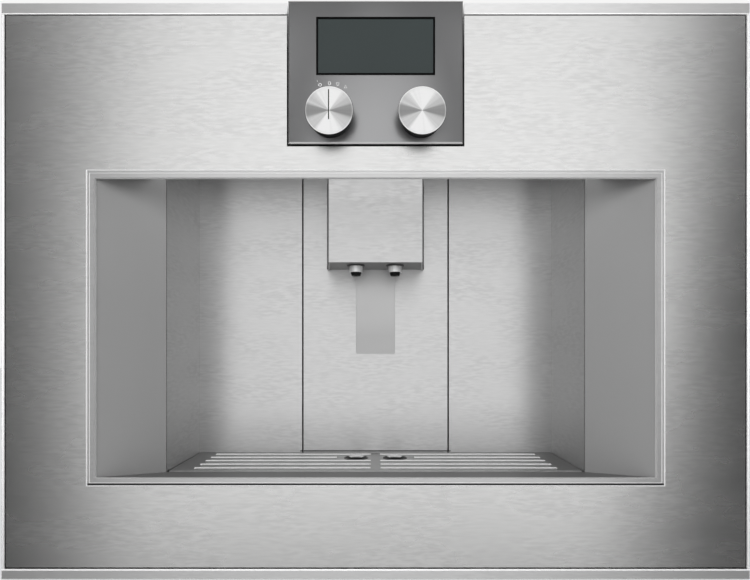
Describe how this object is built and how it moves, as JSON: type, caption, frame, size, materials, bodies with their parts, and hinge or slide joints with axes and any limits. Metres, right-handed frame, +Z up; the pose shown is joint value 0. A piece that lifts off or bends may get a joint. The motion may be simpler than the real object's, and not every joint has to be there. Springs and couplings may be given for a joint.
{
  "type": "built-in coffee machine",
  "caption": "Built-in coffee machine for a kitchen niche: hinged brushed steel door with a splayed cup recess, control module with display and knobs, and a sliding outlet.",
  "frame": {"origin": "on the surface that the feet stand on, below the middle of the bounding box", "axes": "+X to the right seen from the front, +Y back into the cabinet, +Z up"},
  "size_m": [0.59, 0.4074, 0.455],
  "materials": {
    "brushed_steel": "fine horizontal brushing",
    "polished_trim": "polished",
    "rail_aluminium": "satin anodised",
    "liner_grey": "matt mid grey",
    "carrier_plastic": "moulded, dark grey",
    "anthracite": "metallic anthracite, satin",
    "knob_steel": "turned, radial brushing",
    "display_black": "gloss",
    "display_dark": "dark grey-green glass",
    "board_green": "solder mask",
    "black_plastic": "moulded, fine texture",
    "galvanised": "zinc coated sheet",
    "recess_dark": "matt black",
    "rubber": "matt",
    "frame_plastic": "moulded, fine texture",
    "tank_clear": "clear, slightly smoked",
    "hopper_smoke": "smoked clear",
    "light_lens": "opal",
    "float_red": "gloss",
    "hinge_steel": "zinc plated",
    "cast_aluminium": "cast",
    "burr_steel": "ground",
    "silicone": "milky",
    "magnet": "nickel"
  },
  "bodies": {
    "machine_body": {"hinge_brackets": "hinge_steel", "hinge_pins": "hinge_steel", "door_magnets": "magnet", "module_fascia": "anthracite", "module_housing": "black_plastic", "display_frame": "display_black", "display_glass": "display_dark", "control_board": "board_green", "knob_encoders": "black_plastic", "feet": "rubber", "base_pan": "galvanised", "side_panels": "galvanised", "rear_panel": "galvanised", "top_cover": "galvanised", "front_frame": "frame_plastic", "chassis_walls": "galvanised", "casing_screws": "hinge_steel", "recess_walls": "brushed_steel", "recess_center_panel": "brushed_steel", "recess_bulkhead": "recess_dark", "recess_ceiling": "liner_grey", "recess_lights": "light_lens", "dispenser_guide": "liner_grey", "supply_pipes": "polished_trim", "drip_tray": "black_plastic", "grounds_container": "black_plastic", "water_tank": "tank_clear", "bean_hopper": "hopper_smoke", "powder_drawer": "black_plastic", "grinder_housing": "black_plastic", "brew_unit_housing": "black_plastic", "heater": "cast_aluminium", "pump": "cast_aluminium", "power_board": "board_green", "water_hoses": "silicone", "mains_inlet": "black_plastic"},
    "door": {"door_sheet": "brushed_steel", "door_bezel": "polished_trim", "door_liner": "liner_grey", "door_carrier": "carrier_plastic", "door_sides": "rail_aluminium", "door_rails": "rail_aluminium", "door_hinge_blocks": "hinge_steel"},
    "mode_knob": {"mode_knob": "knob_steel"},
    "selector_knob": {"selector_knob": "knob_steel"},
    "dispenser": {"dispenser_body": "black_plastic", "nozzle_collars": "polished_trim", "nozzle_tips": "black_plastic"},
    "dispenser_cover": {"dispenser_cover": "brushed_steel"},
    "grate": {"drip_grate": "brushed_steel"},
    "float": {"tray_float": "float_red"},
    "burr": {"grinder_burr": "burr_steel"},
    "dial": {"grind_dial": "black_plastic"},
    "piston": {"brew_piston": "black_plastic"},
    "spindle": {"brew_spindle": "hinge_steel"},
    "lever": {"brew_lever": "rail_aluminium"},
    "rocker": {"mains_rocker": "black_plastic"},
    "plunger": {"door_switch": "black_plastic"},
    "tank_cover": {"tank_lid": "black_plastic"},
    "hopper_cover": {"hopper_lid": "black_plastic"}
  },
  "joints": [
    {"name": "door_hinge", "type": "hinge", "parent": "machine_body", "child": "door", "pos_m": [-0.283, -0.17125, 0], "axis": [0, 0, -1], "range_deg": [0, 110]},
    {"name": "mode_knob_turn", "type": "hinge", "parent": "machine_body", "child": "mode_knob", "pos_m": [-0.0353, -0.18825, 0.3628], "axis": [0, 1, 0], "range_deg": [-16, 27]},
    {"name": "selector_knob_turn", "type": "hinge", "parent": "machine_body", "child": "selector_knob", "pos_m": [0.0353, -0.18825, 0.3628], "axis": [0, 1, 0], "continuous": true},
    {"name": "dispenser_height", "type": "slide", "parent": "machine_body", "child": "dispenser", "axis": [0, 0, -1], "range_m": [0, 0.075]},
    {"name": "cover_pull", "type": "slide", "parent": "dispenser", "child": "dispenser_cover", "axis": [0, -1, 0], "range_m": [0, 0.03]},
    {"name": "grate_lift", "type": "slide", "parent": "machine_body", "child": "grate", "axis": [0, 0, 1], "range_m": [0, 0.04]},
    {"name": "float_rise", "type": "slide", "parent": "machine_body", "child": "float", "axis": [0, 0, 1], "range_m": [0, 0.03]},
    {"name": "burr_spin", "type": "hinge", "parent": "machine_body", "child": "burr", "pos_m": [0.23165, -0.00325, 0.292], "axis": [0, 0, 1], "continuous": true},
    {"name": "grind_setting", "type": "hinge", "parent": "machine_body", "child": "dial", "pos_m": [0.26, -0.14075, 0.27775], "axis": [0, 1, 0], "range_deg": [-135, 135]},
    {"name": "tank_lid_lift", "type": "slide", "parent": "machine_body", "child": "tank_cover", "axis": [0, 0, 1], "range_m": [0, 0.014]},
    {"name": "hopper_lid_lift", "type": "slide", "parent": "machine_body", "child": "hopper_cover", "axis": [0, 0, 1], "range_m": [0, 0.008]},
    {"name": "spindle_turn", "type": "hinge", "parent": "machine_body", "child": "spindle", "pos_m": [0.23165, -0.08825, 0.085], "axis": [0, 0, 1], "range_deg": [0, 1440]},
    {"name": "piston_lift", "type": "slide", "parent": "machine_body", "child": "piston", "axis": [0, 0, 1], "range_m": [0, 0.028]},
    {"name": "brew_lever_turn", "type": "hinge", "parent": "machine_body", "child": "lever", "pos_m": [0.23165, -0.13225, 0.214], "axis": [0, 1, 0], "range_deg": [0, 90]},
    {"name": "mains_rocker_tilt", "type": "hinge", "parent": "machine_body", "child": "rocker", "pos_m": [-0.23165, -0.13425, 0.385], "axis": [1, 0, 0], "range_deg": [-7, 7]},
    {"name": "door_switch_press", "type": "slide", "parent": "machine_body", "child": "plunger", "axis": [0, 1, 0], "range_m": [0, 0.0025], "stiffness_N_per_m": 300, "springref_m": -0.002}
  ],
  "couplings": [
    {"joint": "spindle_turn", "follows": "piston_lift", "rad_per_m": 897.51}
  ]
}
